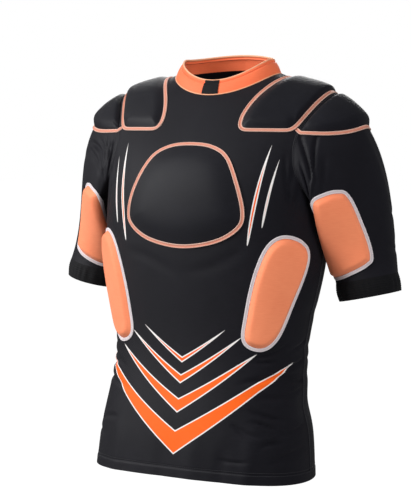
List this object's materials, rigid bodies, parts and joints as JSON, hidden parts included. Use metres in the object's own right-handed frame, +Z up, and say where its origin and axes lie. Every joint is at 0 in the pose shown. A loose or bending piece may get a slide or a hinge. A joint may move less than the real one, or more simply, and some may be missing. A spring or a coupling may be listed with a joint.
{
  "type": "padded rugby protection top",
  "caption": "Short-sleeved, close-fitting stretch top, worn and hollow, with sewn-on pads at the shoulders, chest, biceps and ribs, a stand collar and elastic cuffs.",
  "frame": {"origin": "centre of the neck opening, level with the place where the shoulder seams meet the collar", "axes": "+Z up, the front of the top faces -Y, the wearer's left is +X"},
  "size_m": [0.5922, 0.3014, 0.6656],
  "materials": {
    "black_knit": "fine black stretch knit, slight sheen",
    "black_pad": "black stretch cloth over foam",
    "black_elastic": "matte black elastic band",
    "orange_collar": "soft orange stretch cloth",
    "orange_foam": "orange cloth-faced foam",
    "peach_tape": "peach bonded seam tape",
    "pale_border": "pale grey binding"
  },
  "bodies": {
    "root": {"body_front": "black_knit", "body_back": "black_knit", "sleeve_left": "black_knit", "sleeve_right": "black_knit", "cuff_left": "black_elastic", "cuff_right": "black_elastic", "collar": "orange_collar", "collar_label": "black_elastic", "chest_pad": "black_pad", "chest_tape": "peach_tape", "shoulder_pad_inner_left": "black_pad", "shoulder_pad_inner_right": "black_pad", "shoulder_pad_outer_left": "black_pad", "shoulder_pad_outer_right": "black_pad", "shoulder_tape_inner_left": "peach_tape", "shoulder_tape_inner_right": "peach_tape", "shoulder_tape_outer_left": "peach_tape", "shoulder_tape_outer_right": "peach_tape", "bicep_pad_left": "orange_foam", "bicep_pad_right": "orange_foam", "bicep_border_left": "pale_border", "bicep_border_right": "pale_border", "rib_pad_left": "orange_foam", "rib_pad_right": "orange_foam", "rib_border_left": "pale_border", "rib_border_right": "pale_border"}
  },
  "joints": []
}
